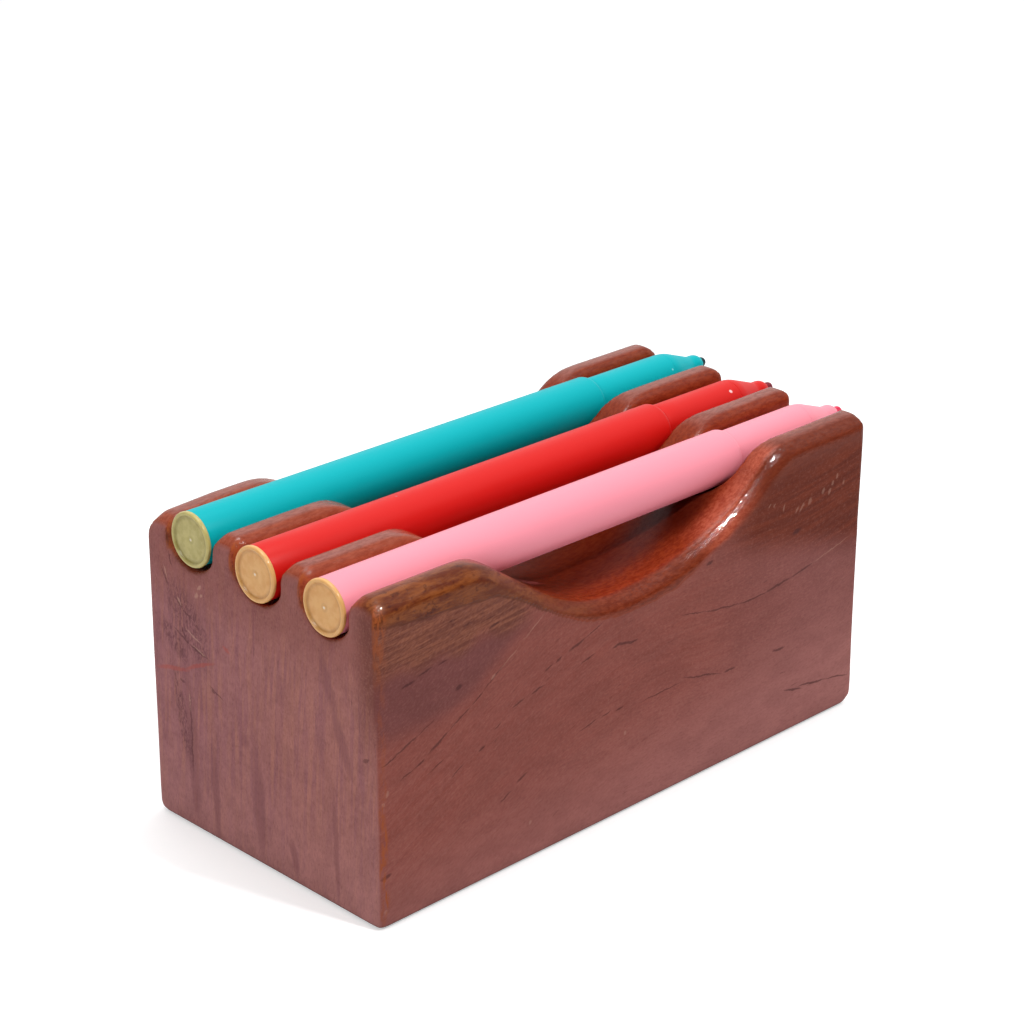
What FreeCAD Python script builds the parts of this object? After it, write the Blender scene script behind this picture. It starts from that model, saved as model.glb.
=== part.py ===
import FreeCAD, Part
import Sketcher
import math
import os

# Rest for three felt-tip pens: a solid hardwood block with three long grooves and a finger scoop
# across the middle, and the matched set of three uncapped pens that lies in it.
# Millimetres. Origin: centre of the block's underside. +X runs from the pens' butts to their tips,
# +Z is up, and the scoop is cut along Y.

SIZES = {
    # wooden block
    "block_length": 126.9,
    "block_width": 61.4,
    "block_height": 61.5,
    "ridge_width": 6.1,
    "side_round": 3.0,
    "end_round": 2.0,
    "foot_round": 0.8,
    # finger scoop: depth below the ridge tops, its lowest line from mid-length, the curve of its
    # two halves, the straight rise of the near half in degrees, and the rounding where each half
    # meets the ridge tops
    "scoop_depth": 17.1,
    "scoop_centre": -3.5,
    "scoop_near_radius": 30.5,
    "scoop_near_rise": 34.5,
    "scoop_far_radius": 56.0,
    "near_shoulder": 16.0,
    "far_shoulder": 14.0,
    # grooves: play beside the widest part of a pen, rounding of the ridge tops
    "groove_play": 0.5,
    "lip_radius": 2.6,
    "lip_slope": 20.0,
    "seat_gap": 0.2,
    # each row: depth of the groove, how far the butt stands out of the block, length of bare nib
    "teal_groove_depth": 8.8,
    "red_groove_depth": 9.5,
    "pink_groove_depth": 9.75,
    "teal_overhang": -0.35,
    "red_overhang": 0.0,
    "pink_overhang": 0.0,
    "teal_nib_bare": 1.6,
    "red_nib_bare": 2.15,
    "pink_nib_bare": 2.15,
    # barrel moulding: tube, rounded shoulder, grip section
    "barrel_radius": 5.1,
    "barrel_length": 97.45,
    "barrel_wall": 1.1,
    "shoulder_length": 1.65,
    "shoulder_step": 0.7,
    "grip_length": 21.2,
    "grip_wall": 1.1,
    # end plug
    "plug_lip": 0.35,
    "plug_disc": 1.3,
    "plug_edge": 0.4,
    "plug_rim_width": 1.4,
    "plug_face_sink": 0.35,
    "plug_dimple_radius": 0.55,
    "plug_dimple_depth": 0.3,
    "plug_skirt": 6.0,
    "plug_wall": 1.1,
    # nose cone, back to front
    "nose_step": 0.03,
    "nose_round_length": 2.4,
    "nose_round_drop": 0.47,
    "cone_length": 4.5,
    "cone_drop": 1.6,
    "waist_length": 1.65,
    "waist_drop": 0.29,
    "collar_length": 0.45,
    "mouth_length": 2.0,
    "mouth_drop": 0.72,
    "mouth_curve": 4.0,
    "nose_skirt": 8.0,
    # nib and ink reservoir
    "nib_radius": 1.05,
    "nib_dome": 1.15,
    "nib_socket": 6.0,
    "reservoir_play": 0.15,
    "end_play": 0.3,
    # radial clearance of every pushed-together pair
    "fit_gap": 0.03,
    # how far a cut runs past the block
    "cut_margin": 5.0,
}

PENS = (("teal", 1), ("red", 0), ("pink", -1))
TOLERANCE = 1e-4


class Size:
    """A length that knows both its number and the expression that ties it to the sheet."""

    def __init__(self, value, text):
        self.value = value
        self.text = text

    @staticmethod
    def of(thing):
        return thing if isinstance(thing, Size) else Size(float(thing), str(thing))

    def __add__(self, other):
        other = Size.of(other)
        return Size(self.value + other.value, f"({self.text} + {other.text})")

    def __sub__(self, other):
        other = Size.of(other)
        return Size(self.value - other.value, f"({self.text} - {other.text})")

    def __mul__(self, other):
        other = Size.of(other)
        return Size(self.value * other.value, f"({self.text} * {other.text})")

    def __truediv__(self, other):
        other = Size.of(other)
        return Size(self.value / other.value, f"({self.text} / {other.text})")

    def __neg__(self):
        return Size(-self.value, f"(0 - {self.text})")

    def root(self):
        return Size(math.sqrt(self.value), f"sqrt({self.text})")

    def arc_sine(self):
        return Size(math.degrees(math.asin(self.value)), f"asin({self.text})")

    def cosine(self):
        return Size(math.cos(math.radians(self.value)), f"cos({self.text} * 1 deg)")

    def sine(self):
        return Size(math.sin(math.radians(self.value)), f"sin({self.text} * 1 deg)")


NOTHING = Size(0.0, "0")

doc = FreeCAD.newDocument("pen_rest")
sheet = doc.addObject("Spreadsheet::Sheet", "sizes")
for row, (alias, number) in enumerate(SIZES.items(), start=1):
    sheet.set(f"A{row}", alias)
    sheet.set(f"B{row}", str(number))
    sheet.setAlias(f"B{row}", alias)
doc.recompute()


def size(alias):
    return Size(float(sheet.get(alias)), f"sizes.{alias}")


def new_body(label):
    body = doc.addObject("PartDesign::Body", label)
    body.Label = label
    return body


def origin_plane(body, role):
    return next(plane for plane in body.Origin.OriginFeatures if plane.Role == role)


def bind(item, path, length):
    item.setExpression(path, length.text)


def arc_centre(start, end, radius, side):
    """Centre of the arc of under a half circle from start to end; side 1 has it on the left."""
    dx = end[0] - start[0]
    dy = end[1] - start[1]
    chord = math.hypot(dx, dy)
    reach = math.sqrt(max(radius ** 2 - (chord / 2) ** 2, 0.0))
    middle = ((start[0] + end[0]) / 2, (start[1] + end[1]) / 2)
    return (middle[0] - side * reach * dy / chord, middle[1] + side * reach * dx / chord)


def add_arc(sketch, start, end, radius, side):
    """An arc between two points; returns its index and which of its ends is the start."""
    centre = arc_centre(start, end, radius, side)
    first, last = (start, end) if side > 0 else (end, start)
    begin = math.atan2(first[1] - centre[1], first[0] - centre[0])
    finish = math.atan2(last[1] - centre[1], last[0] - centre[0])
    circle = Part.Circle(FreeCAD.Vector(centre[0], centre[1], 0), FreeCAD.Vector(0, 0, 1), radius)
    index = sketch.addGeometry(Part.ArcOfCircle(circle, begin, finish), False)
    return index, (1, 2) if side > 0 else (2, 1)


def closed_profile(body, role, name, outline):
    """A closed sketch on one of the body's origin planes.

    outline lists the corners as (x, y) or (x, y, radius, side): the last two say that an arc of
    that radius leads to the corner, with its centre on the left (1) or right (-1) of the way there.
    Every corner and every radius is tied to the sheet.
    """
    sketch = body.newObject("Sketcher::SketchObject", name)
    sketch.AttachmentSupport = [(origin_plane(body, role), "")]
    sketch.MapMode = "FlatFace"
    origin = -1
    ends = []
    for number, corner in enumerate(outline):
        before = outline[number - 1]
        start = (before[0].value, before[1].value)
        end = (corner[0].value, corner[1].value)
        if len(corner) == 4:
            index, order = add_arc(sketch, start, end, corner[2].value, corner[3])
        else:
            line = Part.LineSegment(FreeCAD.Vector(*start, 0), FreeCAD.Vector(*end, 0))
            index, order = sketch.addGeometry(line, False), (1, 2)
        ends.append((index, order))
    for number, corner in enumerate(outline):
        index, order = ends[number]
        following, following_order = ends[(number + 1) % len(outline)]
        sketch.addConstraint(Sketcher.Constraint("Coincident", index, order[1], following, following_order[0]))
        for direction, length in (("DistanceX", corner[0]), ("DistanceY", corner[1])):
            place = Sketcher.Constraint(direction, origin, 1, index, order[1], length.value)
            bind(sketch, f"Constraints[{sketch.addConstraint(place)}]", length)
        if len(corner) == 4:
            bend = sketch.addConstraint(Sketcher.Constraint("Radius", index, corner[2].value))
            bind(sketch, f"Constraints[{bend}]", corner[2])
    return sketch


def turned(body, name, outline):
    """A solid of revolution about the body's own X axis from an outline of (x, radius) corners."""
    sketch = closed_profile(body, "XZ_Plane", f"{name}_profile", outline)
    feature = body.newObject("PartDesign::Revolution", name)
    feature.Profile = sketch
    feature.ReferenceAxis = (sketch, ["H_Axis"])
    feature.Angle = 360
    return feature


def cut_through(body, role, name, outline, length):
    """A pocket of the given length, half to each side of the sketch's plane."""
    doc.recompute()
    volume_before = body.Shape.Volume
    sketch = closed_profile(body, role, f"{name}_profile", outline)
    pocket = body.newObject("PartDesign::Pocket", name)
    pocket.Profile = sketch
    pocket.SideType = "Symmetric"
    bind(pocket, "Length", length)
    doc.recompute()
    if body.Shape.Volume > volume_before - 1.0:
        raise RuntimeError(f"{name} cuts nothing")
    return pocket


def round_edges(body, name, radius, chosen):
    """A fillet on each edge of the body's tip that the test chooses by its bounding box."""
    doc.recompute()
    base = body.Tip
    names = []
    for number, edge in enumerate(base.Shape.Edges, start=1):
        if chosen(edge.BoundBox):
            names.append(f"Edge{number}")
    if not names:
        raise RuntimeError(f"{name} finds no edge")
    fillet = body.newObject("PartDesign::Fillet", name)
    fillet.Base = (base, names)
    bind(fillet, "Radius", radius)
    doc.recompute()
    return fillet


def close_to(one, other):
    return abs(one - other) < TOLERANCE


# Sizes that more than one piece takes its own from.
block_length = size("block_length")
block_width = size("block_width")
block_height = size("block_height")
plug_radius = size("barrel_radius") + size("plug_lip")
groove_radius = plug_radius + size("groove_play")
row_pitch = groove_radius * 2 + size("ridge_width")

barrel_bore = size("barrel_radius") - size("barrel_wall")
grip_radius = size("barrel_radius") - size("shoulder_step")
grip_bore = grip_radius - size("grip_wall")
nib_bore = size("nib_radius") + size("fit_gap")

# Stations along a pen, from the outer face of its end plug.
barrel_start = size("plug_disc")
shoulder_start = barrel_start + size("barrel_length")
grip_start = shoulder_start + size("shoulder_length")
grip_end = grip_start + size("grip_length")
round_end = grip_end + size("nose_round_length")
cone_end = round_end + size("cone_length")
waist_end = cone_end + size("waist_length")
collar_end = waist_end + size("collar_length")
mouth = collar_end + size("mouth_length")
plug_inner_end = barrel_start + size("plug_skirt")
nose_inner_end = grip_end - size("nose_skirt")
reservoir_start = plug_inner_end + size("end_play")
reservoir_end = nose_inner_end - size("end_play")
socket_start = reservoir_end - size("nib_socket")
nib_start = socket_start + size("fit_gap")


def make_block():
    body = new_body("wooden_block")
    half_length = block_length / 2
    half_width = block_width / 2

    corners = [(-half_length, -half_width), (half_length, -half_width),
               (half_length, half_width), (-half_length, half_width)]
    blank = body.newObject("PartDesign::Pad", "blank")
    blank.Profile = closed_profile(body, "XY_Plane", "blank_profile", corners)
    bind(blank, "Length", block_height)

    cut_through(body, "XZ_Plane", "scoop", scoop_outline(), block_width + size("cut_margin"))
    top = block_height.value
    side = half_width.value
    end = half_length.value
    for name, inward in (("near_shoulder", 1), ("far_shoulder", -1)):
        round_edges(body, f"{name}_round", size(name),
                    lambda box: close_to(box.ZMin, top) and close_to(box.XLength, 0)
                    and -end + TOLERANCE < box.XMin * inward < 0)
    round_edges(body, "side_rounds", size("side_round"),
                lambda box: close_to(box.YLength, 0) and close_to(abs(box.YMin), side)
                and box.ZMax > TOLERANCE and box.XLength > TOLERANCE)
    round_edges(body, "end_rounds", size("end_round"),
                lambda box: close_to(box.XLength, 0) and close_to(abs(box.XMin), end)
                and box.ZMax > TOLERANCE)
    round_edges(body, "foot_rounds", size("foot_round"), lambda box: box.ZMax < TOLERANCE)

    for colour, place in PENS:
        outline = groove_outline(row_pitch * place, size(f"{colour}_groove_depth"))
        cut_through(body, "YZ_Plane", f"{colour}_groove", outline, block_length + size("cut_margin"))
    return body


def scoop_outline():
    """A straight fall and two arcs that meet at the scoop's lowest line, closed above the ridges."""
    centre = size("scoop_centre")
    depth = size("scoop_depth")
    near = size("scoop_near_radius")
    rise = size("scoop_near_rise")
    far = size("scoop_far_radius")
    floor = block_height - depth
    bend_reach = near * rise.sine()
    bend_height = near - near * rise.cosine()
    near_reach = bend_reach + (depth - bend_height) * rise.cosine() / rise.sine()
    far_reach = (far * far - (far - depth) * (far - depth)).root()
    above = block_height + size("cut_margin")
    return [(centre - near_reach, above),
            (centre - near_reach, block_height),
            (centre - bend_reach, floor + bend_height),
            (centre, floor, near, 1),
            (centre + far_reach, block_height, far, 1),
            (centre + far_reach, above)]


def groove_outline(middle, depth):
    """A round-bottomed groove whose walls roll over into the ridge tops."""
    lip = size("lip_radius")
    groove_centre = block_height - depth + groove_radius
    lip_centre = block_height - lip * size("lip_slope").cosine()
    rise = lip_centre - groove_centre
    spread = ((groove_radius + lip) * (groove_radius + lip) - rise * rise).root()
    share = groove_radius / (groove_radius + lip)
    wall_out = spread * share
    wall_up = groove_centre + rise * share
    crest_out = spread - lip * size("lip_slope").sine()
    above = block_height + size("cut_margin")
    return [(middle - crest_out, above),
            (middle - crest_out, block_height),
            (middle - wall_out, wall_up, lip, -1),
            (middle, block_height - depth, groove_radius, 1),
            (middle + wall_out, wall_up, groove_radius, 1),
            (middle + crest_out, block_height, lip, -1),
            (middle + crest_out, above)]


def drop_radius(length, drop):
    """Radius of the arc that starts along the axis and falls by drop over length."""
    return (length * length + drop * drop) / (drop * 2)


def make_barrel(colour):
    body = new_body(f"{colour}_barrel")
    radius = size("barrel_radius")
    shoulder = drop_radius(size("shoulder_length"), size("shoulder_step"))
    step_back = shoulder_start - size("shoulder_length")
    turned(body, f"{colour}_tube", [
        (barrel_start, barrel_bore),
        (barrel_start, radius),
        (shoulder_start, radius),
        (grip_start, grip_radius, shoulder, -1),
        (grip_end, grip_radius),
        (grip_end, grip_bore),
        (step_back, grip_bore),
        (step_back, barrel_bore)])
    return body


def make_end_plug(colour):
    body = new_body(f"{colour}_end_plug")
    edge = size("plug_edge")
    disc = size("plug_disc")
    face = size("plug_face_sink")
    face_radius = plug_radius - size("plug_rim_width")
    skirt = barrel_bore - size("fit_gap")
    skirt_bore = skirt - size("plug_wall")
    floor = disc + face
    dimple = size("plug_dimple_radius")
    turned(body, f"{colour}_plug", [
        (face + size("plug_dimple_depth"), NOTHING),
        (face, dimple),
        (face, face_radius - edge),
        (NOTHING, face_radius),
        (NOTHING, plug_radius - edge),
        (edge, plug_radius, edge, -1),
        (disc, plug_radius),
        (disc, skirt),
        (plug_inner_end, skirt),
        (plug_inner_end, skirt_bore),
        (floor, skirt_bore),
        (floor, NOTHING)])
    return body


def make_nose_cone(colour):
    body = new_body(f"{colour}_nose_cone")
    root = grip_radius - size("nose_step")
    cone_root = root - size("nose_round_drop")
    cone_tip = cone_root - size("cone_drop")
    collar = cone_tip - size("waist_drop")
    skirt = grip_bore - size("fit_gap")
    turned(body, f"{colour}_nose", [
        (nose_inner_end, nib_bore),
        (nose_inner_end, skirt),
        (grip_end, skirt),
        (grip_end, root),
        (round_end, cone_root, drop_radius(size("nose_round_length"), size("nose_round_drop")), -1),
        (cone_end, cone_tip),
        (waist_end, collar, drop_radius(size("waist_length"), size("waist_drop")), 1),
        (collar_end, collar),
        (mouth, collar - size("mouth_drop"), size("mouth_curve"), -1),
        (mouth, nib_bore)])
    return body


def make_nib(colour):
    body = new_body(f"{colour}_nib")
    radius = size("nib_radius")
    tip = mouth + size(f"{colour}_nib_bare")
    turned(body, f"{colour}_tip", [
        (nib_start, NOTHING),
        (nib_start, radius),
        (tip - size("nib_dome"), radius),
        (tip, NOTHING, drop_radius(size("nib_dome"), radius), -1)])
    return body


def make_reservoir(colour):
    body = new_body(f"{colour}_ink_reservoir")
    radius = grip_bore - size("reservoir_play")
    turned(body, f"{colour}_filler", [
        (reservoir_start, NOTHING),
        (reservoir_start, radius),
        (reservoir_end, radius),
        (reservoir_end, nib_bore),
        (socket_start, nib_bore),
        (socket_start, NOTHING)])
    return body


def lay_in_groove(body, colour, place):
    """A pen rests on its plug's rim and on the front of its barrel, so it leans down a little."""
    lean = ((plug_radius - size("barrel_radius")) / shoulder_start).arc_sine()
    start = -block_length / 2 - size(f"{colour}_overhang")
    across = row_pitch * place
    height = block_height - size(f"{colour}_groove_depth") + size("seat_gap") + plug_radius
    base = FreeCAD.Vector(start.value, across.value, height.value)
    turn = FreeCAD.Rotation(FreeCAD.Vector(0, 1, 0), lean.value)
    body.Placement = FreeCAD.Placement(base, turn)
    bind(body, "Placement.Base.x", start)
    bind(body, "Placement.Base.y", across)
    bind(body, "Placement.Base.z", height)
    bind(body, "Placement.Rotation.Angle", lean)


pieces = [make_block()]
for colour, place in PENS:
    for make in (make_barrel, make_end_plug, make_nose_cone, make_nib, make_reservoir):
        piece = make(colour)
        lay_in_groove(piece, colour, place)
        pieces.append(piece)

doc.recompute()
for item in doc.Objects:
    if "Invalid" in item.State or "Error" in item.State:
        raise RuntimeError(f"{item.Label} failed: {item.State}")
for piece in pieces:
    if piece.Shape.isNull() or not piece.Shape.isValid() or len(piece.Shape.Solids) != 1:
        raise RuntimeError(f"{piece.Label} is not one valid solid")

os.makedirs("parts", exist_ok=True)
for piece in pieces:
    piece.Shape.exportStep(f"parts/{piece.Label}.step")
    print(piece.Label, round(piece.Shape.Volume, 1))
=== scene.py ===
import math

import bmesh
import bpy
import numpy as np
from mathutils import Matrix, Vector


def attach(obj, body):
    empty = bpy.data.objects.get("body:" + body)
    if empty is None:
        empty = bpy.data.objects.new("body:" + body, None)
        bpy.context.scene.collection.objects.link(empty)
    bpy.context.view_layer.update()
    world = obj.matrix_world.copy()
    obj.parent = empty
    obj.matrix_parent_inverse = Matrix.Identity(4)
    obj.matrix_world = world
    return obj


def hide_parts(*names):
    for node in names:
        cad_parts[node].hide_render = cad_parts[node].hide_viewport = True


# Looks of the pen rest: the hardwood block is remeshed from its solid and worn by the rules below,
# the pens are turned from finer profiles than the solids have. All lengths inside the rules are in
# millimetres and are scaled to metres at the end. +X runs from the butts to the tips.

MM = 0.001
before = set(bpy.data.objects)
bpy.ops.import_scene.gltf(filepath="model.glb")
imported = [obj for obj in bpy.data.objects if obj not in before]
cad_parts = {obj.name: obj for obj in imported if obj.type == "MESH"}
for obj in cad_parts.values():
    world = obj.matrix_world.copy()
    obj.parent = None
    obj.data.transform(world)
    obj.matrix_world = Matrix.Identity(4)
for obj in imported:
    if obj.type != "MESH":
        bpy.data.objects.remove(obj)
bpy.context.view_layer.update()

# Half the block's length and width, the rounding of its edges, and the radius of its grooves.
BLOCK_END = 63.45
BLOCK_SIDE = 30.7
EDGE_RADIUS = 2.0
GROOVE_RADIUS = 5.95
# Each groove's middle and floor, how far its pen stands out of the block, and the bare end of the nib.
ROWS = {
    "teal": {"y": 18.0, "floor": 52.7, "overhang": -0.35, "nib": 1.6},
    "red": {"y": 0.0, "floor": 52.0, "overhang": 0.0, "nib": 2.15},
    "pink": {"y": -18.0, "floor": 51.75, "overhang": 0.0, "nib": 2.15},
}


def linear(red, green, blue):
    """A display colour from 0 to 255 as the linear colour that shaders take."""
    def channel(value):
        value = value / 255
        return value / 12.92 if value <= 0.04045 else ((value + 0.055) / 1.055) ** 2.4
    return (channel(red), channel(green), channel(blue), 1.0)


def smooth(value, low, high):
    """0 below low, 1 above high, and an even curve between."""
    share = np.clip((value - low) / (high - low), 0.0, 1.0)
    return share * share * (3 - 2 * share)


def table(value, rows):
    """The measure at each value, from rows of value and measure, in straight lines between them."""
    return np.interp(value, *zip(*rows))


RIPPLE_WAVES = 14


def ripple(points, size, seed):
    """Smooth made-up variation from about -1 to 1 with features of the given size."""
    source = np.random.default_rng(seed)
    total = np.zeros(len(points))
    for _ in range(RIPPLE_WAVES):
        direction = source.normal(size=3)
        direction /= np.linalg.norm(direction)
        pitch = size * source.uniform(0.7, 1.6)
        total += np.sin(points @ direction * (2 * math.pi / pitch) + source.uniform(0, 2 * math.pi))
    return total / math.sqrt(RIPPLE_WAVES / 2)


class Shader:
    """Short calls for building one material's nodes."""

    def __init__(self, name):
        self.material = bpy.data.materials.new(name)
        self.material.use_nodes = True
        self.tree = self.material.node_tree
        self.tree.nodes.clear()
        self.output = self.tree.nodes.new("ShaderNodeOutputMaterial")

    def node(self, kind, **settings):
        made = self.tree.nodes.new("ShaderNode" + kind)
        for key, value in settings.items():
            setattr(made, key, value)
        return made

    def feed(self, socket, value):
        if isinstance(value, bpy.types.NodeSocket):
            self.tree.links.new(value, socket)
        elif value is not None:
            socket.default_value = value

    def math(self, operation, first, second=None, third=None):
        made = self.node("Math", operation=operation)
        for socket, value in zip(made.inputs, (first, second, third)):
            self.feed(socket, value)
        return made.outputs[0]

    def vector(self, operation, first, second=None, third=None, scale=None):
        made = self.node("VectorMath", operation=operation)
        for socket, value in zip(made.inputs, (first, second, third)):
            self.feed(socket, value)
        if scale is not None:
            self.feed(made.inputs["Scale"], scale)
        return made.outputs["Value" if operation in ("DOT_PRODUCT", "LENGTH", "DISTANCE") else "Vector"]

    def position(self):
        """The point on the object, in millimetres."""
        place = self.node("TexCoord").outputs["Object"]
        return self.vector("SCALE", place, scale=1 / MM)

    def stored(self, name, output="Vector"):
        return self.node("Attribute", attribute_name=name).outputs[output]

    def split(self, vector):
        made = self.node("SeparateXYZ")
        self.feed(made.inputs[0], vector)
        return tuple(made.outputs)

    def joined(self, x, y, z):
        made = self.node("CombineXYZ")
        for socket, value in zip(made.inputs, (x, y, z)):
            self.feed(socket, value)
        return made.outputs[0]

    def noise(self, place, scale, detail, roughness, distortion=0.0):
        made = self.node("TexNoise")
        self.feed(made.inputs["Vector"], place)
        made.inputs["Scale"].default_value = scale
        made.inputs["Detail"].default_value = detail
        made.inputs["Roughness"].default_value = roughness
        made.inputs["Distortion"].default_value = distortion
        return made.outputs["Fac"]

    def drawn_noise(self, place, squeeze, *settings):
        """Noise drawn out along the first axis, which is squeezed by this share before it is looked up."""
        return self.noise(self.vector("MULTIPLY", place, (squeeze, 1.0, 1.0)), *settings)

    def warped(self, flat, scale, amount):
        """A flat place pushed about by up to half the amount, in waves of about 1 / scale."""
        first = self.noise(flat, scale, 2, 0.5)
        second = self.noise(self.vector("ADD", flat, (31.7, 12.3, 7.1)), scale, 2, 0.5)
        push = self.joined(first, second, 0.0)
        push = self.vector("MULTIPLY_ADD", push, (amount, amount, 0.0), flat)
        return self.vector("SUBTRACT", push, (amount / 2, amount / 2, 0.0))

    def marks(self, flat, dashes):
        """1 on long thin marks that taper to both ends, given as start, end and half width.

        flat is a place on the face with 1 as its third number."""
        nearest = None
        for x0, y0, x1, y1, width in dashes:
            long = math.hypot(x1 - x0, y1 - y0)
            east, north = (x1 - x0) / long, (y1 - y0) / long
            middle_x, middle_y, half = (x0 + x1) / 2, (y0 + y1) / 2, long / 2 + 0.1
            along = self.vector("DOT_PRODUCT", flat, (
                east / half, north / half, -(east * middle_x + north * middle_y) / half))
            across = self.vector("DOT_PRODUCT", flat, (
                -north / width, east / width, (north * middle_x - east * middle_y) / width))
            reach = self.math("MULTIPLY_ADD", along, along, self.math("MULTIPLY", across, across))
            nearest = reach if nearest is None else self.math("MINIMUM", nearest, reach)
        return self.between(nearest, 1.5, 0.2)

    def between(self, value, low, high, from_value=0.0, to_value=1.0):
        """value brought from the range low..high to from_value..to_value with a smooth step."""
        made = self.node("MapRange", interpolation_type="SMOOTHSTEP", clamp=True)
        self.feed(made.inputs["Value"], value)
        for socket, number in zip(list(made.inputs)[1:5], (low, high, from_value, to_value)):
            self.feed(socket, number)
        return made.outputs["Result"]

    def mix(self, share, first, second):
        """A colour between first and second."""
        made = self.node("Mix", data_type="RGBA", clamp_factor=True)
        self.feed(made.inputs["Factor"], share)
        self.feed(made.inputs[6], first)
        self.feed(made.inputs[7], second)
        return made.outputs[2]

    def blend(self, share, first, second):
        """A number between first and second."""
        made = self.node("Mix", data_type="FLOAT")
        self.feed(made.inputs[0], share)
        self.feed(made.inputs[2], first)
        self.feed(made.inputs[3], second)
        return made.outputs[0]

    def bump(self, height, distance, strength, after=None):
        made = self.node("Bump")
        made.inputs["Strength"].default_value = strength
        made.inputs["Distance"].default_value = distance * MM
        self.feed(made.inputs["Height"], height)
        self.feed(made.inputs["Normal"], after)
        return made.outputs["Normal"]

    def finish(self, color, roughness, normal, **settings):
        """The surface itself, with further settings by the names of the shader's own sockets."""
        made = self.node("BsdfPrincipled")
        self.feed(made.inputs["Base Color"], color)
        self.feed(made.inputs["Roughness"], roughness)
        self.feed(made.inputs["Normal"], normal)
        for name, value in settings.items():
            self.feed(made.inputs[name.replace("_", " ")], value)
        self.tree.links.new(made.outputs[0], self.output.inputs[0])
        return self.material


def put_attribute(mesh, name, values):
    kind = "FLOAT_VECTOR" if values.ndim == 2 else "FLOAT"
    made = mesh.attributes.new(name, kind, "POINT")
    made.data.foreach_set("vector" if values.ndim == 2 else "value", values.astype(np.float32).ravel())


def paint(piece, material):
    piece.data.materials.clear()
    piece.data.materials.append(material)


def new_piece(name, mesh, body, material_slot, material, *nodes):
    piece = bpy.data.objects.new(name, mesh)
    bpy.context.scene.collection.objects.link(piece)
    paint(piece, material)
    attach(piece, body)
    if nodes:
        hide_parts(*nodes)
    return piece


# The wooden block

def remeshed(source, voxel, passes):
    """An even fine mesh of a solid, with its edges eased."""
    copy = bpy.data.objects.new("remesh_source", source.data.copy())
    bpy.context.scene.collection.objects.link(copy)
    remesh = copy.modifiers.new("remesh", "REMESH")
    remesh.mode = "VOXEL"
    remesh.voxel_size = voxel * MM
    ease = copy.modifiers.new("ease", "SMOOTH")
    ease.factor = 0.5
    ease.iterations = passes
    graph = bpy.context.evaluated_depsgraph_get()
    mesh = bpy.data.meshes.new_from_object(copy.evaluated_get(graph))
    bpy.data.objects.remove(copy)
    return mesh


def round_drop(inside, radius):
    """How far a quarter-round of this radius lies below its corner, at a distance inside it."""
    rest = np.clip(radius - inside, 0.0, radius)
    return radius - np.sqrt(radius * radius - rest * rest)


def squared(points, near, far):
    """Draws the rounded upright edges out towards sharper ones, more so at the far end."""
    side = BLOCK_SIDE - np.abs(points[:, 1])
    for gap, inward, power in ((near, 1, 4.0), (far, -1, 7.0)):
        along, across = EDGE_RADIUS - gap, EDGE_RADIUS - side
        zone = (along > 0.02) & (across > 0.02)
        along, across = along[zone], across[zone]
        turn = np.arctan2(across, along)
        grow = (np.cos(turn) ** power + np.sin(turn) ** power) ** (-1 / power) - 1
        points[zone, 0] -= inward * along * grow
        points[zone, 1] += np.sign(points[zone, 1]) * across * grow


# The hand-sanded form, as rows of a place along the block or across it and a measure.
SCOOP_SKEW = ((-30.7, 2.4), (-24, 2.2), (-6, 0.7), (12, -0.4), (27, -0.5))
FAR_ROUNDING = ((-24, 1.1), (-9, 1.6), (9, 2.4), (27, 2.9))
BACK_RIDGE_DROP = (
    (-63, 1.3), (-58, 1.1), (-50, 0.8), (-42, 0.85), (-28, 0.8), (26, 0.3), (34, 0.4), (44, 0.0))
NEAR_ROUNDING, BACK_NEAR_ROUNDING = 3.4, 4.0
FOOT_END_ROUNDING, FOOT_BACK_ROUNDING = 3.0, 2.2
MOUTH_LENGTH, MOUTH_WIDTH = 3.2, 3.0
WANDER, WANDER_SIZE = 0.07, 34.0


def wear_block(points):
    """Hand-sanded form: a skewed scoop, softer ridge ends, a lower back ridge, flared groove mouths."""
    x, y, z = points.T.copy()
    far_slope = smooth(x, -3.5, 14.0)
    before_end = 1 - smooth(x, 44.0, 60.0)
    x += table(y, SCOOP_SKEW) * far_slope * before_end
    points[:, 0] = x
    near = x + BLOCK_END
    far = BLOCK_END - x
    squared(points, near, far)
    near_radius = np.where(y > 20, BACK_NEAR_ROUNDING, NEAR_ROUNDING)
    drop = round_drop(near, near_radius) - round_drop(near, EDGE_RADIUS)
    drop += round_drop(far, table(y, FAR_ROUNDING)) - round_drop(far, EDGE_RADIUS)
    back_ridge = smooth(y, 20.0, 27.0)
    drop += table(x, BACK_RIDGE_DROP) * back_ridge
    ridges = smooth(z, 51.0, 58.5)
    points[:, 2] -= drop * ridges
    foot = 1 - smooth(z, 0.0, 8.0)
    front_half = smooth(-y, -10.0, 20.0)
    points[:, 2] += round_drop(far, FOOT_END_ROUNDING) * foot * front_half
    near_end = 1 - smooth(near, 4.0, 20.0)
    points[:, 2] += round_drop(BLOCK_SIDE - y, FOOT_BACK_ROUNDING) * foot * near_end

    for row in ROWS.values():
        across = y - row["y"]
        above = z - (row["floor"] + GROOVE_RADIUS)
        reach = np.hypot(across, above)
        angle = np.degrees(np.arctan2(above, across))
        mouth = 1 - smooth(near, 0.0, MOUTH_LENGTH)
        mouth *= 1 - smooth(reach, GROOVE_RADIUS, GROOVE_RADIUS + MOUTH_WIDTH)
        flare = mouth * smooth(angle, -60, 10) * (1 - smooth(angle, 100, 140))
        points[:, 1] += flare * across / reach
        points[:, 2] += flare * above / reach * 0.4

    wander = np.stack([ripple(points, WANDER_SIZE, seed) for seed in (3, 4, 5)], 1)
    points += wander * WANDER * smooth(z, 0.5, 6.0)[:, None]
    return points


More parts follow.
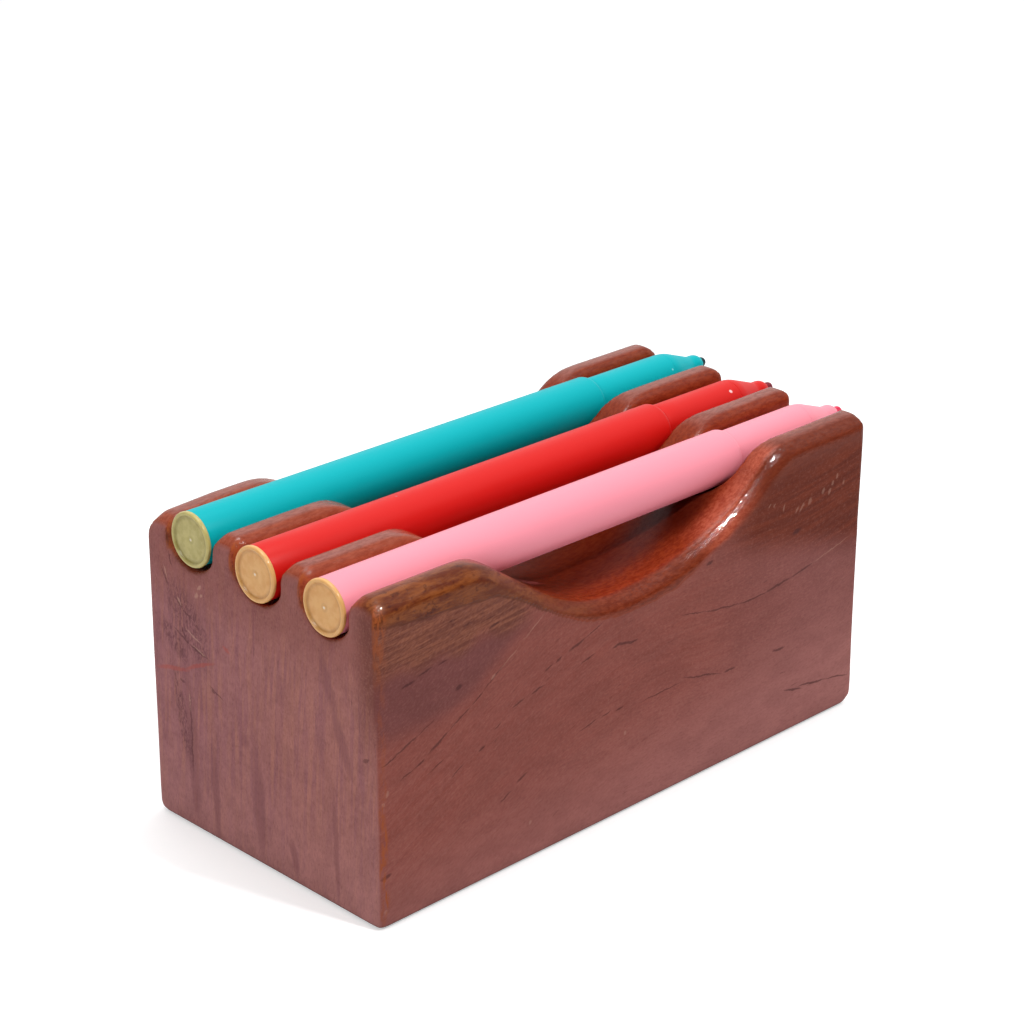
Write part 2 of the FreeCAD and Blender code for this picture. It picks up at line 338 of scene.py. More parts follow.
def read_normals(mesh):
    normals = np.zeros(len(mesh.vertices) * 3, np.float32)
    mesh.vertices.foreach_get("normal", normals)
    return normals.reshape(-1, 3).astype(float)


def place_points(mesh, points):
    mesh.vertices.foreach_set("co", (points * MM).astype(np.float32).ravel())
    mesh.update()


OUTER_FLAT, INNER_FLAT = 0.30, 0.10


def flatten_edges(points, normals):
    """Sands a narrow flat along the middle of the rounded upper edges."""
    sideways = normals[:, 1] ** 2
    middle = 4 * sideways * (1 - sideways) * (1 - smooth(np.abs(normals[:, 0]), 0.55, 0.75))
    outer = smooth(np.abs(points[:, 1]), 26.5, 27.7) * smooth(points[:, 2], 38.0, 41.0)
    inner = (1 - outer) * smooth(points[:, 2], 56.5, 59.0)
    return points - normals * (middle * (OUTER_FLAT * outer + INNER_FLAT * inner))[:, None]


VOXEL, EASE_PASSES = 0.5, 8


def make_block():
    mesh = remeshed(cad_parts["wooden_block"], VOXEL, EASE_PASSES)
    points = np.zeros(len(mesh.vertices) * 3, np.float32)
    mesh.vertices.foreach_get("co", points)
    points = wear_block(points.reshape(-1, 3).astype(float) / MM)
    place_points(mesh, points)
    points = flatten_edges(points, read_normals(mesh))
    place_points(mesh, points)
    for polygon in mesh.polygons:
        polygon.use_smooth = True
    store_wood_masks(mesh, points)
    return new_piece("wooden_block_worn", mesh, "rest", "hardwood", wood_material(), "wooden_block")


# Lower edge of the varnish on the block's long sides, as x and z.
VARNISH_EDGE = (
    (-64, 57.6), (-60, 56.7), (-45, 55.8), (-35, 55.0), (-30, 52.3), (-25, 49.0), (-20, 46.0), (-15, 43.4),
    (-10, 42.0), (-5, 41.1), (0, 40.8), (5, 41.1), (10, 42.0), (15, 43.5), (20, 45.6), (25, 47.7), (30, 50.6),
    (36, 55.0), (42, 57.0), (64, 57.5))

# Slope of the grain lines on the long sides, as x and rise.
GRAIN_RISE = (
    (-64, 0.50), (-40, 0.50), (-25, 0.42), (-15, 0.33), (-5, 0.18), (5, 0.05), (15, -0.10), (25, -0.02),
    (40, 0.05), (50, 0.12), (64, 0.20))

# Upper edge of the plain wood at the side's near end, as x and z: tan and dusky wood lie above it.
TAN_SEAM = ((-62, 26), (-55, 29), (-48, 32.6), (-44, 35), (-40, 37.3), (-37, 39.6), (-31, 43.2), (-25, 47))

# How much the corner between the near end and the side is rubbed, as z and share.
RUBBED = ((0, 0.1), (3, 0.5), (5, 0.9), (22, 0.8), (28, 0.35), (45, 0.25), (50, 0.35), (55, 0.7), (61, 0.9))

# The way a surface faces where the small front lamp glints off it towards the camera.
GLINT = np.array([-0.309, -0.671, 0.674])


def store_wood_masks(mesh, points):
    """Where the varnish and the tones of the wood lie and how the grain runs, for the wood's nodes."""
    normals = read_normals(mesh)
    x, y, z = points.T
    front = smooth(-normals[:, 1], 0.45, 0.75)
    butt = smooth(-normals[:, 0], 0.55, 0.85)
    endwise = smooth(np.abs(normals[:, 0]), 0.6, 0.85)
    sidewise = smooth(np.abs(normals[:, 1]), 0.5, 0.8)
    put_attribute(mesh, "facing", np.stack([front, butt, endwise], 1))
    # Where the ridge tops face up, which carries the painted sheen on them.
    crest = smooth(normals[:, 2], 0.88, 0.985) * smooth(z, 57.0, 60.0)
    polish = smooth(normals @ GLINT, 0.93, 0.98)
    lip = smooth(-normals[:, 1], 0.15, 0.45) * smooth(-y, 26.5, 28.0)
    put_attribute(mesh, "edges", np.stack([crest, polish, lip], 1))

    above = z - table(x, VARNISH_EDGE) + ripple(points, 9.0, 11) * 0.12 + ripple(points, 3.0, 12) * 0.05
    spread = 0.25 + 0.4 * smooth(x, 5.0, 15.0) + 2.2 * smooth(x, 24.0, 34.0)
    over_side = smooth(above / spread, -1.0, 1.0)
    side = np.abs(y) > BLOCK_SIDE - 3.4
    cap = smooth(z, 56.5, 59.5)
    endward = (np.abs(normals[:, 0]) - 0.55 - 0.17 * cap) / (0.25 - 0.02 * cap)
    varnish = np.where(side, over_side, 1.0) * (1 - smooth(endward, 0.0, 1.0))
    varnish *= smooth(z, 40.0, 41.0)
    past_ridge = smooth(x, -27.0, -21.0)
    gold = (1 - past_ridge) + 0.5 * past_ridge * (1 - smooth(x, -16.0, -6.0)) * lip
    gold *= 1 - smooth(y, -27.5, -25.0)
    wavy_x = x + ripple(points, 5.0, 13) * 0.2
    high = smooth(z, 43.0, 50.0)
    worn = (1 - smooth(wavy_x, -62.0, -60.8)) * smooth(-normals[:, 1], 0.2, 0.6) * high
    corner_line = smooth(wavy_x, -63.1, -62.4) * (1 - smooth(wavy_x, -61.9, -61.2)) * (1 - high)
    worn += corner_line * smooth(-normals[:, 1], 0.5, 0.8)
    worn *= table(z, RUBBED)
    put_attribute(mesh, "finish", np.stack([varnish, gold, worn], 1))

    upper_left = smooth(z - table(x, TAN_SEAM), -1.0, 5.0) * (1 - smooth(x, -28.0, -19.0))
    tan = smooth(z + ripple(points, 9.0, 14) * 0.7, 46.0, 50.0) * (1 - smooth(x, -31.0, -24.0))
    dusk = upper_left * smooth(z, 33.0, 39.0) * (1 - smooth(z, 46.0, 51.0))
    umber = smooth(z + 0.25 * (x - 40), 37.0, 45.0) * smooth(x, 17.0, 33.0)
    put_attribute(mesh, "tone", np.stack([tan, dusk, umber], 1))

    steps = np.linspace(-64, 64, 257)
    rise = table(steps, GRAIN_RISE)
    grain_line = np.interp(x, steps, np.concatenate([[0], np.cumsum((rise[1:] + rise[:-1]) / 4)]))
    layer = endwise * 50 + sidewise * 20
    for name, height in (("grain", grain_line), ("level_grain", 0.08 * (x + 60))):
        across = (z - height) * sidewise + y * (1 - sidewise)
        along = x * (1 - endwise) + z * endwise
        across = across * (1 - endwise) + (y + 0.06 * z + 40) * endwise
        put_attribute(mesh, name, np.stack([along, across, layer], 1))


# Marks on the side that faces the camera, as x and z of both ends and the half width.
SIDE_DARK = (
    (-62.4, 31.7, -58.9, 32.6, 0.18), (-59.5, 32.6, -54.3, 34.6, 0.24), (-54.3, 34.6, -50.2, 36.4, 0.10),
    (-58.4, 27.6, -54.9, 28.9, 0.12), (-54.8, 28.8, -52.8, 29.7, 0.20), (-51.6, 30.4, -47.0, 33.1, 0.28),
    (-46.9, 33.1, -41.9, 36.0, 0.14), (-41.4, 36.3, -38.9, 37.8, 0.20), (-38.8, 37.9, -33.5, 41.5, 0.12),
    (-52.1, 26.4, -48.0, 28.3, 0.12), (-46.4, 24.0, -43.7, 25.3, 0.12), (-45.3, 40.4, -44.0, 40.9, 0.50),
    (-57.7, 44.8, -54.6, 45.2, 0.26), (-53.9, 45.8, -50.7, 46.6, 0.22), (-49.3, 46.5, -47.2, 46.9, 0.20),
    (-37.6, 49.4, -35.2, 49.7, 0.24), (-23.9, 36.4, -21.8, 37.1, 0.18), (-21.0, 37.1, -19.6, 38.0, 0.26),
    (-17.7, 38.2, -13.7, 39.5, 0.28), (-13.6, 39.6, -9.2, 41.3, 0.12), (-14.7, 34.9, -11.1, 35.7, 0.16),
    (-6.4, 35.2, -3.8, 35.5, 0.22), (-2.4, 34.9, 0.2, 34.8, 0.22), (-31.9, 32.0, -29.0, 32.9, 0.20),
    (-27.0, 33.2, -24.3, 33.7, 0.20), (-36.2, 29.5, -34.7, 30.3, 0.16), (-40.0, 26.4, -38.5, 27.2, 0.24),
    (-30.6, 16.8, -28.2, 17.9, 0.26), (-34.9, 14.5, -32.2, 15.6, 0.14), (-14.8, 21.3, -10.4, 22.3, 0.14),
    (-9.0, 22.3, -6.8, 22.8, 0.14), (-5.4, 22.3, -3.5, 22.5, 0.18), (-62.8, 9.9, -60.6, 10.5, 0.45),
    (-5.1, 35.3, -1.2, 35.1, 0.24), (12.1, 35.6, 18.5, 34.2, 0.12), (18.4, 34.1, 28.4, 32.8, 0.18),
    (28.0, 32.7, 35.9, 32.8, 0.16), (35.3, 32.8, 42.9, 33.7, 0.26), (42.7, 33.6, 49.5, 34.7, 0.20),
    (1.6, 21.6, 12.1, 21.9, 0.14), (13.2, 22.4, 23.4, 19.8, 0.16), (24.5, 19.8, 27.7, 19.6, 0.22),
    (38.3, 19.2, 41.9, 19.3, 0.28), (42.6, 9.6, 47.6, 8.2, 0.28), (46.5, 9.0, 55.2, 7.8, 0.24),
    (55.0, 7.8, 61.9, 6.4, 0.20), (42.7, 42.8, 45.2, 43.1, 0.55), (18.5, 43.7, 20.1, 44.3, 0.30))
SIDE_LIGHT = (
    (-36.8, 39.5, -35.9, 40.1, 0.30), (-35.0, 40.5, -30.0, 43.6, 0.12), (-29.0, 44.5, -23.8, 47.6, 0.14),
    (-2.9, 16.4, -2.5, 17.0, 0.30), (-27.5, 7.3, -26.9, 7.8, 0.30), (-61.5, 25.6, -61.1, 26.5, 0.35),
    (-62.3, 24.0, -62.1, 24.6, 0.35), (-62.2, 3.2, -61.9, 3.8, 0.40), (49.9, 34.7, 60.7, 37.0, 0.12),
    (39.6, 48.4, 40.1, 49.6, 0.24), (43.5, 47.2, 44.0, 48.2, 0.26), (44.6, 47.0, 45.7, 48.3, 0.34),
    (47.3, 47.5, 47.8, 48.8, 0.50), (51.3, 48.6, 51.8, 49.6, 0.42), (53.2, 47.9, 53.6, 49.1, 0.36),
    (54.1, 49.7, 54.5, 50.5, 0.34), (57.3, 48.8, 57.6, 49.7, 0.30), (55.3, 50.6, 55.6, 51.4, 0.26),
    (35.5, 50.3, 36.0, 50.9, 0.20), (36.7, 50.0, 37.3, 50.6, 0.20))


# Marks on the butt end, as y and z of both ends and the half width.
END_DARK = (
    (23.5, 39.7, 19.4, 37.8, 0.30), (19.4, 37.8, 14.0, 36.5, 0.30), (22.7, 45.8, 20.7, 44.1, 0.30),
    (20.7, 44.1, 18.2, 43.1, 0.25), (21.4, 40.6, 20.2, 38.2, 0.20), (22.5, 29.9, 21.2, 29.4, 0.30),
    (13.4, 30.7, 12.7, 30.3, 0.35), (-27.1, 31.9, -28.6, 32.7, 0.40), (14.2, 31.3, 10.3, 29.6, 0.20),
    (19.9, 28.0, 19.8, 11.3, 0.22), (26.5, 50.5, 24.6, 47.5, 0.25), (24.3, 54.0, 23.4, 51.6, 0.20))
END_LIGHT = (
    (17.0, 47.6, 16.4, 48.6, 0.40), (16.2, 49.4, 15.4, 50.4, 0.34), (15.6, 48.2, 15.2, 48.8, 0.30),
    (22.2, 46.2, 21.3, 44.8, 0.25), (20.1, 40.7, 16.0, 38.8, 0.20), (18.6, 37.9, 14.9, 36.8, 0.16),
    (20.2, 28.0, 19.8, 24.0, 0.12), (25.9, 51.3, 25.0, 49.2, 0.16))
TORN = ((24.5, 49.0, 14.5, 35.0, 4.2), (27.0, 40.0, 20.0, 34.0, 2.2), (24.0, 31.0, 20.0, 12.0, 1.6))
END_RED = ((29.4, 30.0, 19.8, 32.4, 0.45), (21.2, 32.2, 12.4, 36.3, 0.40), (9.7, 40.6, 8.1, 39.7, 0.40))
END_BANDS = (
    (5.0, 25.3, 4.1, 22.5, 1.2), (1.6, 24.0, 0.8, 2.0, 1.8), (-7.6, 9.0, -9.0, 2.0, 1.0),
    (-16.8, 48.1, -20.0, 38.0, 1.3), (-19.2, 40.0, -23.8, 27.5, 1.3), (-19.1, 24.0, -19.9, 2.0, 0.7),
    (20.3, 32.0, 19.0, 2.0, 1.6), (14.0, 20.0, 13.0, 1.0, 1.0))

# A chip in the near end of the scoop, as x and y of both ends and the half width.
CHIP = ((-19.0, -15.6, -12.0, -18.0, 1.1), (-18.0, -17.6, -14.0, -18.6, 0.7))
# Painted shade along the chip's broken edge, given the same way.
CHIP_EDGE_SHADE = ((-19.4, -19.4, -12.6, -18.9, 0.45), (-17.4, -14.0, -12.2, -16.6, 0.20))


# Colours of the wood, its varnish and its marks, and of the painted shade, shadow, sheen, haze and bounce
# light on it.
TONES = {name: linear(*color) for name, color in {
    "side_dark": (145, 77, 67), "side_pale": (151, 85, 75), "side_cloud": (140, 76, 68),
    "side_far_painted_haze": (143, 87, 84), "side_painted_bounce": (176, 114, 109), "dusk": (119, 67, 65),
    "tan_dark": (112, 62, 48), "tan_pale": (146, 88, 66), "tan_dash": (74, 36, 32),
    "umber_dark": (102, 38, 20), "umber_pale": (122, 51, 30), "end_left": (162, 106, 109),
    "end_right": (168, 109, 103), "end_hue_dark": (148, 94, 101), "end_hue_pale": (178, 117, 104),
    "end_high": (148, 88, 82), "end_painted_bounce": (190, 131, 128), "end_corner": (112, 58, 46),
    "fibre_dark": (78, 38, 38), "fibre_pale": (190, 128, 112), "fibre_tan": (158, 104, 82),
    "blotch": (84, 40, 36), "speck": (196, 140, 128), "pore": (78, 36, 34), "torn_dark": (88, 48, 54),
    "torn_pale": (186, 132, 118), "band": (128, 78, 82), "red_scratch": (182, 80, 68),
    "dark_mark": (66, 32, 34), "light_mark": (206, 160, 140), "varnish_dark": (120, 38, 16),
    "varnish_pale": (144, 56, 28), "lip_dark": (103, 39, 19), "lip_pale": (127, 56, 34),
    "scoop_painted_shade": (70, 16, 8), "near_top_dark": (138, 60, 38), "near_top_pale": (160, 78, 54),
    "far_top_dark": (122, 40, 18), "far_top_pale": (144, 58, 30), "flank_dark": (154, 64, 44),
    "flank_pale": (182, 90, 66), "outer_dark": (108, 40, 20), "outer_pale": (124, 52, 30),
    "crest_dark": (132, 70, 58), "crest_pale": (154, 90, 78), "golden_dark": (98, 40, 17),
    "golden_pale": (138, 74, 34), "golden_spot": (70, 24, 12), "golden_far": (104, 46, 26),
    "pool_pale": (142, 54, 18), "pool_dark": (88, 38, 18), "chip_edge_shade": (50, 12, 10), "chip": (152, 86, 86),
    "rubbed": (166, 84, 44), "foot": (70, 38, 40),
}.items()}


def bare_wood(s, place, x, y, z, endwise):
    """Colour and fine height of the wood where it has no varnish, with painted bounce light low down and a
    painted haze towards the far end.
    """
    tan, dusk, umber = s.split(s.stored("tone"))
    grain = s.stored("grain")
    level_grain = s.stored("level_grain")
    streak = s.drawn_noise(grain, 0.05, 0.9, 4, 0.6)
    level = s.drawn_noise(level_grain, 0.045, 1.5, 4, 0.62)
    fine = s.drawn_noise(grain, 0.38, 2.6, 3, 0.65)
    speck = s.noise(place, 2.2, 2, 0.6)
    cloud = s.noise(place, 0.055, 3, 0.5)
    blotch = s.drawn_noise(place, 0.4, 0.30, 4, 0.6)

    side = s.mix(s.between(streak, 0.32, 0.68), TONES["side_dark"], TONES["side_pale"])
    side = s.mix(s.between(cloud, 0.35, 0.65, 0, 0.4), side, TONES["side_cloud"])
    # Painted reflection: the side grows paler and greyer towards the far end, a haze of reflected light
    # painted into its colour.
    side = s.mix(s.between(x, 10, 55, 0, 0.7), side, TONES["side_far_painted_haze"])
    # Painted light: the side pales towards its bottom, more so at the far end, for light bounced up from the
    # floor.
    low = s.math("MULTIPLY_ADD", x, -0.12, z)
    side = s.mix(s.between(low, 27, -8), side, TONES["side_painted_bounce"])
    side = s.mix(s.math("MULTIPLY", dusk, 0.9), side, TONES["dusk"])
    tan_wood = s.mix(s.between(level, 0.38, 0.62), TONES["tan_dark"], TONES["tan_pale"])
    side = s.mix(s.math("MULTIPLY", tan, 0.9), side, tan_wood)
    dash = s.drawn_noise(level_grain, 0.14, 1.3, 2, 0.6)
    dash = s.math("MULTIPLY", tan, s.between(dash, 0.60, 0.70, 0, 0.6))
    side = s.mix(dash, side, TONES["tan_dash"])
    umber_wood = s.mix(s.between(streak, 0.36, 0.64), TONES["umber_dark"], TONES["umber_pale"])
    side = s.mix(umber, side, umber_wood)

    end = s.mix(s.between(y, 22, -16), TONES["end_left"], TONES["end_right"])
    hue = s.drawn_noise(grain, 0.16, 0.40, 5, 0.68, 0.4)
    hue_wood = s.mix(s.between(streak, 0.42, 0.58), TONES["end_hue_dark"], TONES["end_hue_pale"])
    end = s.mix(s.between(hue, 0.36, 0.64, 0, 0.75), end, hue_wood)
    end = s.mix(s.between(z, 41, 53, 0, 0.7), end, TONES["end_high"])
    # Painted light: the end pales towards its bottom for light bounced up from the floor.
    end = s.mix(s.between(z, 24, -2, 0, 0.6), end, TONES["end_painted_bounce"])
    corner = s.math("MULTIPLY", s.between(y, -24, -29), s.between(z, 26, 48))
    end = s.mix(s.math("MULTIPLY", corner, 0.7), end, TONES["end_corner"])

    color = s.mix(endwise, side, end)
    rough = s.blend(endwise, s.blend(tan, 0.20, 0.50), 0.24)
    color = s.mix(s.math("MULTIPLY", s.between(fine, 0.55, 0.28), rough), color, TONES["fibre_dark"])
    pale = s.mix(tan, TONES["fibre_pale"], TONES["fibre_tan"])
    color = s.mix(s.math("MULTIPLY", s.between(fine, 0.52, 0.75), rough), color, pale)
    color = s.mix(s.between(blotch, 0.62, 0.36, 0, 0.16), color, TONES["blotch"])
    specks = s.math("MULTIPLY", s.between(speck, 0.45, 0.72), s.blend(endwise, 0.07, 0.14))
    color = s.mix(specks, color, TONES["speck"])
    pore = s.drawn_noise(grain, 0.16, 1.7, 1, 0.5)
    pore = s.math("MULTIPLY", s.between(pore, 0.69, 0.80), s.between(cloud, 0.46, 0.56))
    color = s.mix(s.math("MULTIPLY", pore, 0.4), color, TONES["pore"])
    height = s.math("ADD", s.math("MULTIPLY", fine, 0.5), s.math("MULTIPLY", speck, 0.4))
    return color, s.math("SUBTRACT", height, pore)


def marked(s, color, place, x, y, z, front, butt):
    """The colour with the scratches, pores and scuffs on it."""
    flat_side = s.warped(s.warped(s.joined(x, z, 1.0), 0.35, 0.9), 2.6, 0.3)
    flat_end = s.warped(s.warped(s.joined(y, z, 1.0), 0.35, 0.8), 2.2, 0.5)

    def on_side(dashes):
        return s.math("MULTIPLY", s.marks(flat_side, dashes), front)

    def on_end(dashes):
        return s.math("MULTIPLY", s.marks(flat_end, dashes), butt)

    ragged = s.noise(s.vector("MULTIPLY", place, (1.0, 1.6, 0.7)), 0.9, 4, 0.7, 1.2)
    torn = on_end(TORN)
    pits = s.math("MULTIPLY", torn, s.between(ragged, 0.56, 0.40, 0.15, 0.6))
    color = s.mix(pits, color, TONES["torn_dark"])
    splinters = s.math("MULTIPLY", torn, s.between(ragged, 0.60, 0.70, 0, 0.35))
    color = s.mix(splinters, color, TONES["torn_pale"])
    color = s.mix(s.math("MULTIPLY", on_end(END_BANDS), 0.5), color, TONES["band"])
    color = s.mix(s.math("MULTIPLY", on_end(END_RED), 0.45), color, TONES["red_scratch"])
    dark = s.math("MAXIMUM", on_side(SIDE_DARK), on_end(END_DARK))
    light = s.math("MAXIMUM", on_side(SIDE_LIGHT), on_end(END_LIGHT))
    color = s.mix(s.math("MULTIPLY", dark, s.blend(butt, 0.62, 0.45)), color, TONES["dark_mark"])
    return s.mix(s.math("MULTIPLY", light, s.blend(butt, 0.24, 0.4)), color, TONES["light_mark"])


def varnish_color(s, place, x, y, z, mottle, gold, crest, lip):
    """Colour of the varnished wood: a painted sheen on the upward ridge tops, a painted lit band on the
    scoop's far slope, painted shade deep in the scoop under the pens, golden at the near side.
    """
    fibres = s.between(mottle, 0.35, 0.65)

    def wood(name):
        return s.mix(fibres, TONES[name + "_dark"], TONES[name + "_pale"])

    glossy = s.mix(s.math("MULTIPLY", lip, 0.7), wood("varnish"), wood("lip"))
    # Painted shade: deep in the scoop, under the pens and towards its far end, the varnish is darkened to a
    # near-black brown.
    reach = s.math("ADD", y, s.between(x, 14, 22, 0.0, 2.0))
    inside = s.math("MULTIPLY", s.between(reach, -24.5, -19.0), s.between(z, 57, 52))
    inside = s.math("MULTIPLY", inside, s.between(x, 8, 24, 0.5, 0.8))
    glossy = s.mix(inside, glossy, TONES["scoop_painted_shade"])
    upper = s.mix(s.between(x, -5, 5), wood("near_top"), wood("far_top"))
    glossy = s.mix(s.between(z, 49, 56), glossy, upper)
    # Painted light: a paler, lit band on the scoop's far slope near its outer edge.
    flank = s.math("MULTIPLY", s.between(y, -23, -27), s.between(x, 16, 24))
    glossy = s.mix(flank, glossy, wood("flank"))
    far_ridge = s.math("MULTIPLY", s.between(y, -24, -27), s.between(x, 26, 36))
    outer = s.math("MULTIPLY", s.math("MAXIMUM", lip, s.between(z, 60.2, 61.0)), far_ridge)
    glossy = s.mix(outer, glossy, wood("outer"))
    # Painted sheen: the upward-facing ridge tops are paler and greyer, a reflection of the bright backdrop
    # painted into their colour.
    glossy = s.mix(s.math("MULTIPLY", crest, s.blend(outer, 0.9, 0.5)), glossy, wood("crest"))
    streaks = s.drawn_noise(place, 0.22, 0.55, 5, 0.7, 0.3)
    spots = s.drawn_noise(place, 0.7, 1.0, 3, 0.6)
    golden = s.mix(s.between(streaks, 0.40, 0.62), TONES["golden_dark"], TONES["golden_pale"])
    golden = s.mix(s.between(spots, 0.56, 0.68, 0, 0.7), golden, TONES["golden_spot"])
    golden = s.mix(s.between(x, -48, -34, 0, 0.35), golden, TONES["golden_far"])
    return s.mix(gold, glossy, golden)


def chipped(s, color, x, y, z, mottle):
    """The colour with the chip at the near end of the scoop, and painted shade along its edge."""
    flat_top = s.warped(s.joined(x, y, 1.0), 0.9, 0.8)
    low = s.math("MULTIPLY", s.between(z, 51, 49), s.between(z, 40, 42))
    # Painted shade along the chip's edge.
    edge = s.math("MULTIPLY", s.marks(flat_top, CHIP_EDGE_SHADE), s.math("MULTIPLY", low, 0.7))
    color = s.mix(edge, color, TONES["chip_edge_shade"])
    chip = s.math("MULTIPLY", s.marks(flat_top, CHIP), low)
    chip = s.math("MULTIPLY", chip, s.between(mottle, 0.35, 0.6, 0.35, 0.85))
    return s.mix(chip, color, TONES["chip"])


def wood_material():
    s = Shader("hardwood")
    place = s.position()
    x, y, z = s.split(place)
    varnish, gold, worn = s.split(s.stored("finish"))
    front, butt, endwise = s.split(s.stored("facing"))
    crest, polish, lip = s.split(s.stored("edges"))
    mottle = s.drawn_noise(place, 0.35, 1.7, 5, 0.7)

    color, height = bare_wood(s, place, x, y, z, endwise)
    color = marked(s, color, place, x, y, z, front, butt)
    color = s.mix(varnish, color, varnish_color(s, place, x, y, z, mottle, gold, crest, lip))
    pool = s.math("MULTIPLY", s.between(varnish, 0.05, 0.4), s.between(varnish, 0.98, 0.6))
    pool = s.math("MULTIPLY", s.math("MULTIPLY", pool, front), s.between(x, 22, 12, 0, 0.6))
    color = s.mix(pool, color, s.mix(s.between(x, -16, -24), TONES["pool_pale"], TONES["pool_dark"]))
    color = chipped(s, color, x, y, z, mottle)
    flake = s.noise(s.vector("MULTIPLY", place, (1.0, 1.0, 0.25)), 1.6, 4, 0.65)
    color = s.mix(s.math("MULTIPLY", worn, s.between(flake, 0.4, 0.6)), color, TONES["rubbed"])
    # Painted shadow: the lowest millimetre of the block is darkened, standing in for its contact shadow on
    # the floor.
    color = s.mix(s.between(z, 0.9, 0.2, 0, 0.75), color, TONES["foot"])

    corner = s.math("MULTIPLY", s.between(x, -50, -58), s.between(y, -22, -26))
    polish = s.math("MULTIPLY", polish, s.blend(corner, 1.0, 0.15))
    gloss = s.blend(polish, s.between(mottle, 0.3, 0.7, 0.13, 0.19), 0.15)
    roughness = s.blend(varnish, 0.68, s.blend(corner, gloss, 0.35))
    bare_normal = s.bump(height, 0.03, 0.8)
    hills = s.drawn_noise(place, 0.8, 1.5, 4, 0.7)
    even = s.math("MULTIPLY", varnish, s.blend(polish, 1.0, 0.35))
    normal = s.bump(s.math("MULTIPLY", hills, even), 0.10, 0.8, bare_normal)
    broken = s.between(s.noise(place, 1.8, 3, 0.65), 0.42, 0.48)
    coat = s.math("MULTIPLY", varnish, s.math("MULTIPLY", polish, broken))
    waves = s.drawn_noise(place, 0.8, 1.2, 1, 0.5)
    return s.finish(color, roughness, normal, Specular_IOR_Level=0.16, Coat_Weight=coat,
                    Coat_Roughness=0.06, Coat_Normal=s.bump(waves, 0.11, 0.8))


# The pens

# The pens rest on their plugs' rims and on the front ends of their barrels, so they lean down a little.
# The rim's radius is the solid plug's: the turned one is slimmer, about the same axis.
RIM_RADIUS = 5.45
RIM_CLEARANCE = 0.2
LEAN = math.asin(0.35 / 98.75)


def turned(row_name, profile, name, body, slot, material, node, sides=96):
    """A piece of a pen, turned about the pen's own leaning axis from (station, radius) points."""
    row = ROWS[row_name]
    start = np.array([-BLOCK_END - row["overhang"], row["y"], row["floor"] + RIM_CLEARANCE + RIM_RADIUS])
    axis = np.array([math.cos(LEAN), 0.0, -math.sin(LEAN)])
    up = np.array([math.sin(LEAN), 0.0, math.cos(LEAN)])
    across = np.array([0.0, 1.0, 0.0])
    turns = np.linspace(0, 2 * math.pi, sides, endpoint=False)
    vertices, faces, rings, radii = [], [], [], []
    for station, radius in profile:
        if radius < 1e-6:
            rings.append([len(vertices)])
            vertices.append(start + axis * station)
            radii.append(0.0)
            continue
        rings.append(list(range(len(vertices), len(vertices) + sides)))
        radii.extend([radius] * sides)
        for turn in turns:
            outward = across * math.cos(turn) + up * math.sin(turn)
            vertices.append(start + axis * station + outward * radius)
    for first, second in zip(rings, rings[1:]):
        for k in range(sides):
            after = (k + 1) % sides
            corners = [first[k % len(first)], first[after % len(first)],
                       second[after % len(second)], second[k % len(second)]]
            kept = list(dict.fromkeys(corners))
            if len(kept) > 2:
                faces.append(kept)
    mesh = bpy.data.meshes.new(name)
    mesh.from_pydata([tuple(v * MM) for v in vertices], [], faces)
    work = bmesh.new()
    work.from_mesh(mesh)
    bmesh.ops.recalc_face_normals(work, faces=work.faces)
    work.to_mesh(mesh)
    work.free()
    for polygon in mesh.polygons:
        polygon.use_smooth = True
    put_attribute(mesh, "radius", np.array(radii))
    return new_piece(name, mesh, body, slot, material, node)


def arc(start, end, bulge, steps):
    """Points from start to end on a curve that bows by bulge, the share of the chord, to its left."""
    (x0, y0), (x1, y1) = start, end
    points = []
    for k in range(1, steps + 1):
        t = k / steps
        lift = 4 * bulge * t * (1 - t)
        points.append((x0 + (x1 - x0) * t - (y1 - y0) * lift, y0 + (y1 - y0) * t + (x1 - x0) * lift))
    return points


def path(*parts):
    """One profile from points and lists of points."""
    points = []
    for part in parts:
        points.extend(part if isinstance(part, list) else [part])
    return points


def quarter(centre, radius, from_degrees, to_degrees, steps):
    """Points on a part of a circle."""
    angles = np.radians(np.linspace(from_degrees, to_degrees, steps + 1))
    return [(centre[0] + radius * math.cos(a), centre[1] + radius * math.sin(a)) for a in angles]


BARREL = path(
    (0.35, 4.0), (0.35, 4.95), quarter((0.5, 4.95), 0.15, 180, 90, 3),
    (10.0, 5.1), (30.0, 5.1), (60.0, 5.1), (90.0, 5.1), (98.9, 5.1),
    quarter((99.25, 4.1), 1.0, 88, 24, 8),
    (100.3, 4.42), (100.45, 4.33), (100.7, 4.31), (100.95, 4.36), (101.1, 4.4), (105.0, 4.4),
    (118.0, 4.4), (121.45, 4.4), quarter((121.5, 4.3), 0.1, 90, 0, 3), (121.6, 3.3), (98.7, 3.3),
    (98.7, 4.0), (0.35, 4.0))

PLUG = path(
    (-0.16, 0.0), (-0.15, 0.12), (-0.08, 0.28), (-0.01, 0.45), (0.01, 0.7), (-0.02, 1.0), (-0.06, 1.6),
    (-0.08, 2.6), (-0.06, 3.5), (-0.04, 4.0), (-0.05, 4.2), (-0.14, 4.36), (-0.32, 4.5), (-0.42, 4.6),
    (-0.45, 4.7), quarter((-0.03, 4.78), 0.42, 180, 90, 8), (0.2, 5.2), (0.35, 5.18), (0.35, 3.97),
    (6.5, 3.97), (6.5, 2.9), (1.2, 2.9), (1.2, 0.0))

